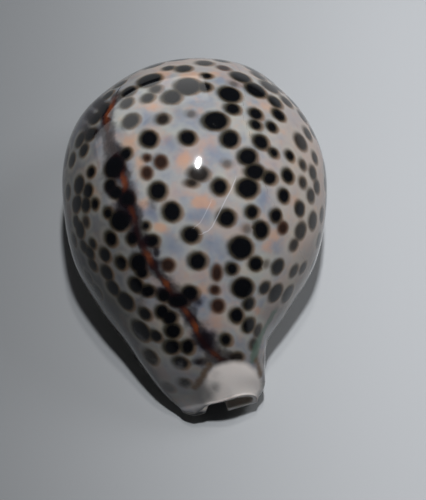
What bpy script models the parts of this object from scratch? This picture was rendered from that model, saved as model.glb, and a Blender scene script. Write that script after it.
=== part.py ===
"""Tiger cowrie shell: one hollow glazed piece with a toothed slit along its base.

The shell lies on its base. +Y points to the spire end, -Y to the front canal, +Z is up and the
outer lip is on the -X side. Sizes are in millimetres until the mesh is written in metres.
"""

import math
from dataclasses import astuple, dataclass

import bmesh
import bpy
import numpy as np
from mathutils import Vector
from mathutils.geometry import tessellate_polygon

OBJECT_NAME = "tiger_cowrie"
MM = 0.001

# Lips and walls
LIP_HEIGHT = 6.2
LIP_HEIGHT_AT_ENDS = 3.8
LIP_ROLL = 2.6
LIP_ROLL_AT_ENDS = 1.5
INNER_ROLL = 1.0
MARGIN_WALL = 4.2

# The same at the front rim, where the canal flares; pairs are the outer-lip side and the other
FRONT_LIP_HEIGHTS = (2.4, 1.7)
FRONT_LIP_ROLLS = (1.0, 0.7)
FRONT_INNER_ROLLS = (0.3, 0.5)
FRONT_ROOF_WALL = 1.2
FRONT_MARGIN_WALL = 1.4

# Teeth along both lips
TOOTH_PITCH = 3.0
TOOTH_DEPTH = 1.0
TOOTH_REACH_LEFT = 6.5
TOOTH_REACH_RIGHT = 4.0
TOOTH_REACH_INSIDE = 2.0
FIRST_TOOTH_Y = -34.0
LAST_TOOTH_Y = 35.0

# Curvature of the cross-section: 2 is an ellipse, more is squarer
BACK_POWER = 2.1
BASE_POWER = 2.7
FRONT_SLOPE_POWER = 1.25

# How far the two rims are swept back from the tip of the left lobe
FRONT_RIGHT_BACK = 2.2
REAR_ROOF_BACK = 1.6
REAR_RIGHT_BACK = 0.6

# How far the inside of the spire end stays behind its outside
REAR_INSIDE_BACK = 2.6

# Rounding of the two rims: a share of the room inside the wall, up to a limit
RIM_SHARE = 0.7
REAR_RIM_LIMIT = 1.05
FRONT_RIM_LIMIT = 2.0
RIM_ANGLES = (30.0, 60.0, 90.0)

# Shallow pit over the buried spire
SPIRE_PIT = (7.0, 41.0, 21.0)
SPIRE_PIT_RADIUS = 4.2
SPIRE_PIT_DEPTH = 1.0

# Points on each half of the outer path; the inner path has the same
ROLL_POINTS = 4
BASE_SHARES = (0.0, 0.08, 0.17, 0.28, 0.45, 0.66, 0.84, 0.96)
BACK_POINTS = 7


@dataclass(frozen=True)
class Section:
    """One cross-section square to the shell's length, in millimetres."""

    y: float
    left: float
    right: float
    crown_x: float
    margin_z: float
    top_z: float
    roof_wall: float
    base_z: float
    slit_x: float
    half_gap: float


SECTIONS = (
    Section(42.0, -3.6, 13.4, 4.9, 9.5, 15.5, 3.0, 4.0, 5.0, 2.5),
    Section(41.4, -9.6, 15.6, 3.0, 12.5, 23.6, 9.0, 2.8, 4.6, 2.5),
    Section(38.8, -16.0, 18.4, 1.2, 15.5, 31.2, 8.0, 1.5, 3.6, 2.5),
    Section(33.0, -22.6, 22.9, 0.2, 17.0, 37.8, 4.5, 0.5, 1.9, 2.5),
    Section(25.0, -29.0, 28.2, -0.4, 17.6, 42.6, 3.2, -0.2, 0.0, 2.5),
    Section(15.0, -31.5, 31.3, -0.1, 17.6, 45.1, 3.0, -0.3, -1.6, 2.5),
    Section(4.0, -31.0, 31.2, 0.1, 16.8, 45.4, 3.0, -0.3, -2.5, 2.6),
    Section(-7.0, -28.5, 28.6, 0.1, 15.0, 43.2, 3.0, -0.3, -2.6, 2.8),
    Section(-17.0, -22.7, 22.7, 0.2, 12.8, 37.4, 3.0, -0.2, -1.8, 3.0),
    Section(-25.0, -16.6, 17.3, 0.9, 10.8, 29.8, 3.0, 0.2, -0.2, 3.1),
    Section(-31.5, -12.0, 16.2, 3.2, 9.0, 22.2, 3.0, 0.8, 1.6, 3.0),
    Section(-36.5, -7.8, 16.2, 6.2, 6.6, 15.6, 3.0, 1.5, 3.6, 2.7),
    Section(-40.3, -3.4, 14.6, 9.0, 4.2, 9.7, 3.0, 2.1, 5.0, 2.4),
)


def smoothstep(value: float, low: float, high: float) -> float:
    """Ease from 0 at low to 1 at high."""
    part = min(max((value - low) / (high - low), 0.0), 1.0)
    return part * part * (3.0 - 2.0 * part)


def section_at(t: float) -> Section:
    """Read the smooth curve through the sections at row position t."""
    rows = np.array([astuple(section) for section in SECTIONS])
    rows = np.vstack([2.0 * rows[0] - rows[1], rows, 2.0 * rows[-1] - rows[-2]])
    start = min(int(t), len(SECTIONS) - 2)
    part = t - start
    before, first, second, after = rows[start:start + 4]
    slope_in = (second - before) / 2.0
    slope_out = (after - first) / 2.0
    square = part * part
    cube = square * part
    mixed = (2.0 * cube - 3.0 * square + 1.0) * first + (cube - 2.0 * square + part) * slope_in
    mixed = mixed + (3.0 * square - 2.0 * cube) * second + (cube - square) * slope_out
    return Section(*mixed)


def base_drop(share: float) -> float:
    """Depth of the base below the margin, from 1 beside the slit to 0 at the margin."""
    return (1.0 - share ** BASE_POWER) ** (1.0 / BASE_POWER)


def blend(body: float, front: float, flare: float) -> float:
    """A size of the body, or its value at the front rim as flare goes from 0 to 1."""
    return body + (front - body) * flare


def lip_roll(side: int, middle: float, flare: float) -> float:
    """Radius of a lip's lower edge."""
    body = blend(LIP_ROLL_AT_ENDS, LIP_ROLL, middle)
    return blend(body, FRONT_LIP_ROLLS[side > 0], flare)


def inner_crown(section: Section, middle: float, flare: float) -> tuple[float, float]:
    """Highest point (x, z) of the inside wall."""
    share = max(middle, flare)
    x = section.slit_x + (section.crown_x - section.slit_x) * share
    return x, section.top_z - blend(section.roof_wall, FRONT_ROOF_WALL, flare)


def half_outer(section: Section, side: int, middle: float, flare: float) -> list[tuple[float, float]]:
    """Follow one half outside, from the lip face under the base and up to the crown."""
    margin_x = section.left if side < 0 else section.right
    roll = lip_roll(side, middle, flare)
    power = blend(BACK_POWER, FRONT_SLOPE_POWER, flare) if side < 0 else BACK_POWER
    foot_x = section.slit_x + side * (section.half_gap + roll)
    points = []
    for step in range(ROLL_POINTS):
        angle = math.pi / 2.0 * (1.0 - step / ROLL_POINTS)
        x = foot_x - side * roll * math.sin(angle)
        points.append((x, section.base_z + roll * (1.0 - math.cos(angle))))
    for share in BASE_SHARES:
        drop = (section.margin_z - section.base_z) * base_drop(share)
        points.append((foot_x + (margin_x - foot_x) * share, section.margin_z - drop))
    for step in range(BACK_POINTS):
        angle = math.pi / 2.0 * step / BACK_POINTS
        x = section.crown_x + (margin_x - section.crown_x) * math.cos(angle) ** (2.0 / power)
        rise = (section.top_z - section.margin_z) * math.sin(angle) ** (2.0 / power)
        points.append((x, section.margin_z + rise))
    return points


def half_inner(section: Section, side: int, middle: float, flare: float) -> list[tuple[float, float]]:
    """Follow one half inside, from the lip face over the lip and up under the crown."""
    front = side > 0
    lip = blend(blend(LIP_HEIGHT_AT_ENDS, LIP_HEIGHT, middle), FRONT_LIP_HEIGHTS[front], flare)
    roll = blend(INNER_ROLL, FRONT_INNER_ROLLS[front], flare)
    wall = blend(MARGIN_WALL, FRONT_MARGIN_WALL, flare)
    wall_x = (section.left if side < 0 else section.right) - side * wall
    foot_x = section.slit_x + side * (section.half_gap + roll)
    narrow_x = foot_x + 0.4 if front else foot_x - blend(0.4, -0.6, flare)
    hollow = max(middle, flare) if front else middle
    margin_x = narrow_x + (wall_x - narrow_x) * hollow
    crown_x, crown_z = inner_crown(section, middle, flare)
    floor_z = max(section.base_z, 0.0) + lip
    margin_z = floor_z + 0.4 * (crown_z - floor_z)
    points = []
    for step in range(ROLL_POINTS):
        angle = math.pi / 2.0 * step / ROLL_POINTS
        x = foot_x - side * roll * math.cos(angle)
        points.append((x, floor_z - roll * (1.0 - math.sin(angle))))
    for share in BASE_SHARES:
        drop = (margin_z - floor_z) * base_drop(share)
        points.append((foot_x + (margin_x - foot_x) * share, margin_z - drop))
    for step in range(BACK_POINTS):
        angle = math.pi / 2.0 * step / BACK_POINTS
        x = crown_x + (margin_x - crown_x) * math.cos(angle) ** (2.0 / BACK_POWER)
        rise = (crown_z - margin_z) * math.sin(angle) ** (2.0 / BACK_POWER)
        points.append((x, margin_z + rise))
    return points


def closed_ring(section: Section, middle: float, flare: float) -> np.ndarray:
    """Join both halves, outside then inside, into one closed C-shaped loop of (x, z).

    middle is 1 along the body and 0 at both ends; flare is 1 at the front rim and 0 behind it.
    """
    outer = half_outer(section, -1, middle, flare) + [(section.crown_x, section.top_z)]
    outer = outer + half_outer(section, 1, middle, flare)[::-1]
    inner = half_inner(section, -1, middle, flare) + [inner_crown(section, middle, flare)]
    inner = inner + half_inner(section, 1, middle, flare)[::-1]
    return np.array(outer + inner[::-1])


def inward(ring: np.ndarray) -> np.ndarray:
    """Unit normals of the loop that point into the wall."""
    along = np.roll(ring, -1, axis=0) - np.roll(ring, 1, axis=0)
    normals = np.column_stack([along[:, 1], -along[:, 0]])
    return normals / np.linalg.norm(normals, axis=1)[:, None]


def room_inside(ring: np.ndarray) -> np.ndarray:
    """Radius of the largest circle inside the wall that touches the loop at each point."""
    offset = ring[None] - ring[:, None]
    ahead = (offset * inward(ring)[:, None]).sum(axis=2)
    square = (offset ** 2).sum(axis=2)
    return np.where(ahead > 1e-6, square / np.maximum(2.0 * ahead, 1e-6), np.inf).min(axis=1)


def tooth_weights(ring: np.ndarray, section: Section) -> np.ndarray:
    """How strongly each point of the loop is cut by the grooves between the teeth."""
    half = len(ring) // 2
    weights = np.zeros(len(ring))
    for index, (x, z) in enumerate(ring):
        side = -1 if x < section.slit_x else 1
        away = abs(x - section.slit_x) - section.half_gap
        reach = TOOTH_REACH_LEFT if side < 0 else TOOTH_REACH_RIGHT
        if index >= half:
            reach = TOOTH_REACH_INSIDE
        if z < section.margin_z:
            weights[index] = 1.0 - smoothstep(away, 0.35 * reach, reach)
    return weights


def tooth_wave(y: float) -> float:
    """Groove depth along the slit: 0 on a tooth, 1 between two teeth, 0 past the last."""
    wave = 0.5 - 0.5 * math.cos(2.0 * math.pi * (y - FIRST_TOOTH_Y) / TOOTH_PITCH)
    ends = smoothstep(y, FIRST_TOOTH_Y - 0.1, FIRST_TOOTH_Y + 4.0)
    return wave * ends * (1.0 - smoothstep(y, LAST_TOOTH_Y - 4.0, LAST_TOOTH_Y + 0.1))


def swept_back(ring: np.ndarray, section: Section, roof: float, right: float) -> np.ndarray:
    """How far each point of a rim lies behind the tip of the left lobe."""
    back = np.zeros(len(ring))
    for index, (x, z) in enumerate(ring):
        height = (z - section.base_z) / (section.top_z - section.base_z)
        back[index] = roof * smoothstep(height, 0.25, 0.95)
        back[index] += right * smoothstep(x, section.slit_x - 1.0, section.right)
    return back


def stations() -> list[float]:
    """Row positions of the rings: each tooth, each groove, and a closer set at the ends."""
    fine = np.linspace(0.0, len(SECTIONS) - 1.0, 2401)
    along = np.array([section_at(t).y for t in fine])
    teeth = np.arange(FIRST_TOOTH_Y, LAST_TOOTH_Y + 0.1, TOOTH_PITCH / 2.0)
    rows = list(np.interp(teeth, along[::-1], fine[::-1]))
    rear = list(np.linspace(0.0, min(rows), 6)[:-1])
    front = list(np.linspace(max(rows), len(SECTIONS) - 1.0, 5)[1:])
    return sorted(rear + rows + front)


def pit_depth(points: np.ndarray) -> np.ndarray:
    """Depth of the spire pit at each outside point."""
    distance = np.linalg.norm(points - np.array(SPIRE_PIT), axis=1)
    return SPIRE_PIT_DEPTH * np.exp(-((distance / SPIRE_PIT_RADIUS) ** 2))


def shell_rings() -> list[np.ndarray]:
    """Every ring of the shell as (x, y, z) points, from the spire end to the front."""
    last = len(SECTIONS) - 1.0
    rings = []
    for t in stations():
        section = section_at(t)
        middle = smoothstep(t, 0.0, 3.0) * (1.0 - smoothstep(t, last - 3.5, last))
        ring = closed_ring(section, middle, smoothstep(t, last - 1.4, last))
        cut = TOOTH_DEPTH * tooth_wave(section.y) * tooth_weights(ring, section)
        ring = ring + inward(ring) * cut[:, None]
        rear = 1.0 - smoothstep(t, 0.0, 1.6)
        front = smoothstep(t, last - 2.0, last)
        back = rear * -swept_back(ring, section, REAR_ROOF_BACK, REAR_RIGHT_BACK)
        back = back + front * swept_back(ring, section, 0.0, FRONT_RIGHT_BACK)
        half = len(ring) // 2
        ring[:half, 1] = np.maximum(ring[:half, 1], 0.0)
        points = np.column_stack([ring[:, 0], section.y + back, ring[:, 1]])
        points[:half, 1] -= pit_depth(points[:half])
        points[half:, 1] -= REAR_INSIDE_BACK * smoothstep(t, 0.0, 1.2) * (1.0 - smoothstep(t, 1.2, 4.0))
        rings.append(points)
    rear_rim = [rounded(rings[0], 1.0, REAR_RIM_LIMIT, angle) for angle in RIM_ANGLES[::-1]]
    front_rim = [rounded(rings[-1], -1.0, FRONT_RIM_LIMIT, angle) for angle in RIM_ANGLES]
    return rear_rim + rings + front_rim


def rounded(points: np.ndarray, way: float, limit: float, angle: float) -> np.ndarray:
    """One ring of a rounded rim: pushed out along the shell and drawn into the wall."""
    turn = math.radians(angle)
    flat = points[:, [0, 2]]
    radius = np.minimum(RIM_SHARE * room_inside(flat), limit)
    flat = flat + inward(flat) * (radius * (1.0 - math.cos(turn)))[:, None]
    return np.column_stack([flat[:, 0], points[:, 1] + way * radius * math.sin(turn), flat[:, 1]])


def shell_mesh(rings: list[np.ndarray]) -> bpy.types.Mesh:
    """Skin the rings and close both ends with triangles across the wall."""
    mesh_builder = bmesh.new()
    rows = [[mesh_builder.verts.new(point * MM) for point in ring] for ring in rings]
    count = len(rows[0])
    for first, second in zip(rows, rows[1:]):
        for index in range(count):
            following = (index + 1) % count
            mesh_builder.faces.new((first[index], second[index], second[following], first[following]))
    for row, ring in ((rows[0], rings[0]), (rows[-1], rings[-1])):
        for corners in tessellate_polygon([[Vector((x, z, 0.0)) for x, _, z in ring]]):
            mesh_builder.faces.new([row[index] for index in corners])
    bmesh.ops.recalc_face_normals(mesh_builder, faces=mesh_builder.faces)
    bmesh.ops.triangulate(mesh_builder, faces=mesh_builder.faces)
    mesh = bpy.data.meshes.new("shell")
    mesh_builder.to_mesh(mesh)
    mesh_builder.free()
    return mesh


def glaze_material() -> bpy.types.Material:
    """Polished enamel of the shell, in the mean colour of its spotted back."""
    material = bpy.data.materials.new("glazed_enamel")
    material.use_nodes = True
    surface = material.node_tree.nodes["Principled BSDF"]
    surface.inputs["Base Color"].default_value = (0.19, 0.155, 0.14, 1.0)
    surface.inputs["Roughness"].default_value = 0.12
    surface.inputs["Metallic"].default_value = 0.0
    return material


def main() -> None:
    """Build the shell in its own collection, standing on z = 0."""
    for item in list(bpy.data.objects):
        bpy.data.objects.remove(item)
    collection = bpy.data.collections.new(OBJECT_NAME)
    bpy.context.scene.collection.children.link(collection)
    rings = shell_rings()
    everything = np.vstack(rings)
    middle = (everything.min(axis=0) + everything.max(axis=0)) / 2.0
    offset = np.array([middle[0], middle[1], everything[:, 2].min()])
    mesh = shell_mesh([ring - offset for ring in rings])
    mesh.materials.append(glaze_material())
    shell = bpy.data.objects.new("shell", mesh)
    collection.objects.link(shell)
    mesh.shade_smooth()
    mesh.set_sharp_from_angle(angle=math.radians(60.0))


main()
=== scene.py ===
"""Looks of a tiger cowrie: one glazed, spotted shell lying on its base on a pale floor.

The shell is skinned again from the sections of the CAD model, finely enough for its teeth, lips
and rims to catch the light. Each mark is laid on that surface and kept there as a distance in
millimetres, and the glaze turns those distances into layers of colour under a clear, hard gloss.
"""

import logging
import math
from dataclasses import astuple, dataclass
from enum import Enum
from typing import Any

import bpy
import numpy as np
from mathutils import Matrix, Quaternion, Vector
from mathutils.bvhtree import BVHTree
from mathutils.geometry import tessellate_polygon


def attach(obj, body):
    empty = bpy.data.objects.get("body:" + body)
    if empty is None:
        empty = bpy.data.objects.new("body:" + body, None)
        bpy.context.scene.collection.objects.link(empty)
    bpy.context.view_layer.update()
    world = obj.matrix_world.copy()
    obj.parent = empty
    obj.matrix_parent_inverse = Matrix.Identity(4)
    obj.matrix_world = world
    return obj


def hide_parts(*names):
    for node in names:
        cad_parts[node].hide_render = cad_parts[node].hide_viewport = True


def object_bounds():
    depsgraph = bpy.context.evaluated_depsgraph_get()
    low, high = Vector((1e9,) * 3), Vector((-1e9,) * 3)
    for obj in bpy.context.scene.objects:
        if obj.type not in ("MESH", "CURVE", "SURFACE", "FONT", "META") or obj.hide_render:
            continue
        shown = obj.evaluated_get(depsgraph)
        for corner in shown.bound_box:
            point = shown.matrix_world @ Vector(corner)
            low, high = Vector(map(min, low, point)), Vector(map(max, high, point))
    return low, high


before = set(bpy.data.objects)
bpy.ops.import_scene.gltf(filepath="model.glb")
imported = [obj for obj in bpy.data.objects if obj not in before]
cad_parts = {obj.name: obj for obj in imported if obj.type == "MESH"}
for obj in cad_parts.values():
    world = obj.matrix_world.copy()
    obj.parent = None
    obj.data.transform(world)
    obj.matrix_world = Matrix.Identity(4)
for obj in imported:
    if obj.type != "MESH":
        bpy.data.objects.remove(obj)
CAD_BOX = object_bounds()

LOG = logging.getLogger("tiger_cowrie")
MM = 0.001
FAR_OFF_MM = 30.0
NODE_NAME = "shell"


def linear(code: str) -> tuple[float, float, float, float]:
    """Turn an sRGB hex colour into linear light.

    Args:
        code: six hex digits after a hash sign.

    Returns:
        Red, green, blue and an opaque alpha.
    """
    shares = [int(code[start:start + 2], 16) / 255.0 for start in (1, 3, 5)]
    red, green, blue = (s / 12.92 if s <= 0.04045 else ((s + 0.055) / 1.055) ** 2.4 for s in shares)
    return red, green, blue, 1.0


def smoothstep(values: np.ndarray | float, low: float, high: float) -> np.ndarray:
    """Ease values from 0 at low to 1 at high.

    Args:
        values: one number or an array of them.
        low: where the rise starts.
        high: where it ends; below low for a fall.

    Returns:
        An array of the same shape.
    """
    part = np.clip((np.asarray(values, dtype=float) - low) / (high - low), 0.0, 1.0)
    return part * part * (3.0 - 2.0 * part)


def add_node(tree: bpy.types.NodeTree, kind: str, inputs: dict[Any, Any], **settings: Any) -> bpy.types.Node:
    """Add a node, set its properties, and fill or link its inputs.

    Args:
        tree: the node tree that the node goes into.
        kind: Blender's identifier for the node.
        inputs: input name or number, and the value or the output socket that feeds it.
        **settings: properties of the node.

    Returns:
        The new node.
    """
    node = tree.nodes.new(kind)
    for name, value in settings.items():
        setattr(node, name, value)
    for key, value in inputs.items():
        if isinstance(value, bpy.types.NodeSocket):
            tree.links.new(value, node.inputs[key])
        else:
            node.inputs[key].default_value = value
    return node


@dataclass(frozen=True)
class PhotoCamera:
    """The camera at the photograph's angle. Lengths are in millimetres, angles in degrees."""

    elevation: float = 64.0
    azimuth: float = 1.2
    roll: float = 0.85
    distance: float = 400.0
    focal_px: float = 1690.0
    aim: tuple[float, float, float] = (4.3, -5.1, 15.0)
    width_px: int = 426
    height_px: int = 500
    sensor_mm: float = 36.0

    def axes(self) -> tuple[np.ndarray, np.ndarray, np.ndarray, np.ndarray]:
        """Work out how the camera stands.

        Returns:
            Its right, up and forward directions, and its place.
        """
        height, turn, lean = (math.radians(a) for a in (self.elevation, self.azimuth, self.roll))
        flat = math.cos(height)
        forward = np.array([math.sin(turn) * flat, math.cos(turn) * flat, -math.sin(height)])
        level = np.array([math.cos(turn), -math.sin(turn), 0.0])
        above = np.cross(level, forward)
        right = level * math.cos(lean) + above * math.sin(lean)
        up = above * math.cos(lean) - level * math.sin(lean)
        return right, up, forward, np.array(self.aim) - forward * self.distance

    def ray(self, u: float, v: float) -> np.ndarray:
        """Unit direction of the ray through photo pixel (u, v)."""
        right, up, forward, _ = self.axes()
        across = (u - self.width_px / 2.0) / self.focal_px
        down = (v - self.height_px / 2.0) / self.focal_px
        way = forward + right * across - up * down
        return way / np.linalg.norm(way)

    def pixels(self, points: np.ndarray) -> np.ndarray:
        """Project points into the photograph.

        Args:
            points: places in millimetres, one a row.

        Returns:
            Pixel columns and rows, one pair a row.
        """
        right, up, forward, place = self.axes()
        offset = points - place
        depth = offset @ forward
        u = self.width_px / 2.0 + self.focal_px * (offset @ right) / depth
        v = self.height_px / 2.0 - self.focal_px * (offset @ up) / depth
        return np.column_stack([u, v])

    def build(self) -> bpy.types.Object:
        """Make the camera and give it to the scene."""
        right, up, forward, place = self.axes()
        data = bpy.data.cameras.new("photo_camera")
        data.sensor_fit = "HORIZONTAL"
        data.sensor_width = self.sensor_mm
        data.lens = self.focal_px / self.width_px * self.sensor_mm
        data.clip_start = 0.01
        camera = bpy.data.objects.new("photo_camera", data)
        stance = np.eye(4)
        stance[:3, 0], stance[:3, 1], stance[:3, 2], stance[:3, 3] = right, up, -forward, place * MM
        camera.matrix_world = Matrix(stance.tolist())
        bpy.context.scene.collection.objects.link(camera)
        bpy.context.scene.camera = camera
        return camera


@dataclass(frozen=True)
class Section:
    """One cross-section square to the shell's length, in millimetres."""

    y: float
    left: float
    right: float
    crown_x: float
    margin_z: float
    top_z: float
    roof_wall: float
    base_z: float
    slit_x: float
    half_gap: float


@dataclass(frozen=True)
class ShellForm:
    """The form of the shell: its sections, lips, teeth and rims, in millimetres.

    The sections and the sizes down to the spire pit are those of the CAD model. The rest says how
    finely the surface is skinned.
    """

    sections: tuple[Section, ...] = (
        Section(42.0, -3.6, 13.4, 4.9, 9.5, 15.5, 3.0, 4.0, 5.0, 2.5),
        Section(41.4, -9.6, 15.6, 3.0, 12.5, 23.6, 9.0, 2.8, 4.6, 2.5),
        Section(38.8, -16.0, 18.4, 1.2, 15.5, 31.2, 8.0, 1.5, 3.6, 2.5),
        Section(33.0, -22.6, 22.9, 0.2, 17.0, 37.8, 4.5, 0.5, 1.9, 2.5),
        Section(25.0, -29.0, 28.2, -0.4, 17.6, 42.6, 3.2, -0.2, 0.0, 2.5),
        Section(15.0, -31.5, 31.3, -0.1, 17.6, 45.1, 3.0, -0.3, -1.6, 2.5),
        Section(4.0, -31.0, 31.2, 0.1, 16.8, 45.4, 3.0, -0.3, -2.5, 2.6),
        Section(-7.0, -28.5, 28.6, 0.1, 15.0, 43.2, 3.0, -0.3, -2.6, 2.8),
        Section(-17.0, -22.7, 22.7, 0.2, 12.8, 37.4, 3.0, -0.2, -1.8, 3.0),
        Section(-25.0, -16.6, 17.3, 0.9, 10.8, 29.8, 3.0, 0.2, -0.2, 3.1),
        Section(-31.5, -12.0, 16.2, 3.2, 9.0, 22.2, 3.0, 0.8, 1.6, 3.0),
        Section(-36.5, -7.8, 16.2, 6.2, 6.6, 15.6, 3.0, 1.5, 3.6, 2.7),
        Section(-40.3, -3.4, 14.6, 9.0, 4.2, 9.7, 3.0, 2.1, 5.0, 2.4),
    )
    lip_height: float = 6.2
    lip_height_at_ends: float = 3.8
    lip_roll: float = 2.6
    lip_roll_at_ends: float = 1.5
    inner_roll: float = 1.0
    margin_wall: float = 4.2
    tooth_pitch: float = 3.0
    tooth_depth: float = 1.0
    tooth_reach_left: float = 6.5
    tooth_reach_right: float = 4.0
    tooth_reach_inside: float = 2.0
    first_tooth_y: float = -34.0
    last_tooth_y: float = 35.0
    tooth_full_share: float = 0.35
    tooth_fade: float = 4.0
    back_power: float = 2.1
    base_power: float = 2.7
    front_roof_wall: float = 1.2
    front_margin_wall: float = 1.4
    front_lip_heights: tuple[float, float] = (2.4, 1.7)
    front_lip_rolls: tuple[float, float] = (1.0, 0.7)
    front_inner_rolls: tuple[float, float] = (0.3, 0.5)
    front_slope_power: float = 1.25
    narrow_hollow: float = 0.4
    hollow_margin_share: float = 0.4
    front_right_back: float = 2.2
    rear_roof_back: float = 1.6
    rear_right_back: float = 0.6
    rear_inside_back: float = 2.6
    swept_heights: tuple[float, float] = (0.25, 0.95)
    tapering_rows: tuple[float, float] = (3.0, 3.5)
    flaring_rows: float = 1.4
    swept_rows: tuple[float, float] = (1.6, 2.0)
    held_back_rows: tuple[float, float] = (1.2, 4.0)
    rim_share: float = 0.7
    rim_limits: tuple[float, float] = (1.05, 2.0)
    spire_pit: tuple[float, float, float] = (7.0, 41.0, 21.0)
    spire_pit_radius: float = 4.2
    spire_pit_depth: float = 1.0
    station_count: int = 250
    station_path_share: float = 0.45
    rim_count: int = 5
    outer_counts: tuple[int, int, int] = (9, 34, 84)
    inner_counts: tuple[int, int, int] = (6, 20, 22)

    @property
    def outer_total(self) -> int:
        """Points on the outside path of each ring."""
        return 2 * sum(self.outer_counts) + 1

    def section_at(self, t: float) -> Section:
        """Read the smooth curve through the sections at row position t."""
        rows = np.array([astuple(section) for section in self.sections])
        rows = np.vstack([2.0 * rows[0] - rows[1], rows, 2.0 * rows[-1] - rows[-2]])
        start = min(int(t), len(self.sections) - 2)
        part = t - start
        before, first, second, after = rows[start:start + 4]
        slope_in = (second - before) / 2.0
        slope_out = (after - first) / 2.0
        square = part * part
        cube = square * part
        mixed = (2.0 * cube - 3.0 * square + 1.0) * first + (cube - 2.0 * square + part) * slope_in
        mixed = mixed + (3.0 * square - 2.0 * cube) * second + (cube - square) * slope_out
        return Section(*mixed)

    @staticmethod
    def even(path: np.ndarray, count: int) -> np.ndarray:
        """Space points evenly along a path.

        Args:
            path: dense points of the path.
            count: how many points to return; the path's last point isn't one of them.

        Returns:
            The evenly spaced points.
        """
        steps = np.linalg.norm(np.diff(path, axis=0), axis=1)
        reach = np.concatenate([[0.0], np.cumsum(steps)])
        wanted = reach[-1] * np.arange(count) / count
        return np.column_stack([np.interp(wanted, reach, path[:, axis]) for axis in (0, 1)])

    @staticmethod
    def quarter(start: tuple[float, float], end: tuple[float, float], power: float,
                rising: bool) -> np.ndarray:
        """Draw a superellipse quarter between two points.

        Args:
            start: the first point.
            end: the last point.
            power: 2 for an ellipse, more for a squarer corner.
            rising: True to leave the first point upright, False to leave it level.

        Returns:
            Dense points from start to end.
        """
        angle = np.linspace(0.0, math.pi / 2.0, 160)
        quick = np.sin(angle) ** (2.0 / power)
        slow = 1.0 - np.cos(angle) ** (2.0 / power)
        shares = np.column_stack((slow, quick) if rising else (quick, slow))
        return np.array(start) + (np.array(end) - np.array(start)) * shares

    def half_outer(self, section: Section, side: int, middle: float, flare: float) -> np.ndarray:
        """Follow one half outside, from the lip face under the base and up to the crown.

        Args:
            section: the section's sizes.
            side: -1 for the outer-lip half, 1 for the other.
            middle: 1 along the body, falling to 0 at both ends.
            flare: 1 at the front rim, falling to 0 behind it.

        Returns:
            Points (x, z), without the crown itself.
        """
        margin = (section.left if side < 0 else section.right, section.margin_z)
        crown = (section.crown_x, section.top_z)
        roll = self.lip_roll_at_ends + (self.lip_roll - self.lip_roll_at_ends) * middle
        roll += (self.front_lip_rolls[side > 0] - roll) * flare
        power = self.back_power + (self.front_slope_power - self.back_power) * flare * (side < 0)
        face = (section.slit_x + side * section.half_gap, section.base_z + roll)
        foot = (face[0] + side * roll, section.base_z)
        rolls, bases, backs = self.outer_counts
        lip = self.quarter(face, foot, 2.0, True)
        base = self.quarter(foot, margin, self.base_power, False)
        back = self.quarter(margin, crown, power, True)
        return np.vstack([self.even(lip, rolls), self.even(base, bases), self.even(back, backs)])

    def inner_crown(self, section: Section, middle: float, flare: float) -> tuple[float, float]:
        """Highest point of the inside wall.

        Args:
            section: the section's sizes.
            middle: 1 along the body, falling to 0 at both ends.
            flare: 1 at the front rim, falling to 0 behind it.

        Returns:
            The point (x, z).
        """
        wall = section.roof_wall + (self.front_roof_wall - section.roof_wall) * flare
        share = max(middle, flare)
        return section.slit_x + (section.crown_x - section.slit_x) * share, section.top_z - wall

    def half_inner(self, section: Section, side: int, middle: float, flare: float) -> np.ndarray:
        """Follow one half inside, from the lip face over the lip and up under the crown.

        Args:
            section: the section's sizes.
            side: -1 for the outer-lip half, 1 for the other.
            middle: 1 along the body, falling to 0 at both ends.
            flare: 1 at the front rim, falling to 0 behind it.

        Returns:
            Points (x, z), without the crown itself.
        """
        lip = self.lip_height_at_ends + (self.lip_height - self.lip_height_at_ends) * middle
        lip += (self.front_lip_heights[side > 0] - lip) * flare
        roll = self.inner_roll + (self.front_inner_rolls[side > 0] - self.inner_roll) * flare
        wall = self.margin_wall + (self.front_margin_wall - self.margin_wall) * flare
        wall_x = (section.left if side < 0 else section.right) - side * wall
        foot_x = section.slit_x + side * (section.half_gap + roll)
        narrow_x = foot_x + side * (self.narrow_hollow - flare * (side < 0))
        hollow = max(middle, flare) if side > 0 else middle
        crown = self.inner_crown(section, middle, flare)
        floor_z = max(section.base_z, 0.0) + lip
        margin_z = floor_z + self.hollow_margin_share * (crown[1] - floor_z)
        margin = (narrow_x + (wall_x - narrow_x) * hollow, margin_z)
        face = (foot_x - side * roll, floor_z - roll)
        foot = (foot_x, floor_z)
        rolls, bases, backs = self.inner_counts
        corner = self.quarter(face, foot, 2.0, True)
        shelf = self.quarter(foot, margin, self.base_power, False)
        vault = self.quarter(margin, crown, self.back_power, True)
        return np.vstack([self.even(corner, rolls), self.even(shelf, bases), self.even(vault, backs)])

    def closed_ring(self, section: Section, middle: float, flare: float) -> np.ndarray:
        """Join both halves, outside then inside, into one closed C-shaped loop.

        Args:
            section: the section's sizes.
            middle: 1 along the body, falling to 0 at both ends.
            flare: 1 at the front rim, falling to 0 behind it.

        Returns:
            Points (x, z) of the loop.
        """
        sizes = (middle, flare)
        outer = [self.half_outer(section, -1, *sizes), [(section.crown_x, section.top_z)]]
        outer.append(self.half_outer(section, 1, *sizes)[::-1])
        inner = [self.half_inner(section, -1, *sizes), [self.inner_crown(section, *sizes)]]
        inner.append(self.half_inner(section, 1, *sizes)[::-1])
        return np.vstack([np.vstack(outer), np.vstack(inner)[::-1]])

    @staticmethod
    def inward(ring: np.ndarray) -> np.ndarray:
        """Unit normals of the loop that point into the wall."""
        along = np.roll(ring, -1, axis=0) - np.roll(ring, 1, axis=0)
        normals = np.column_stack([along[:, 1], -along[:, 0]])
        return normals / np.maximum(np.linalg.norm(normals, axis=1), 1e-9)[:, None]

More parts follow.
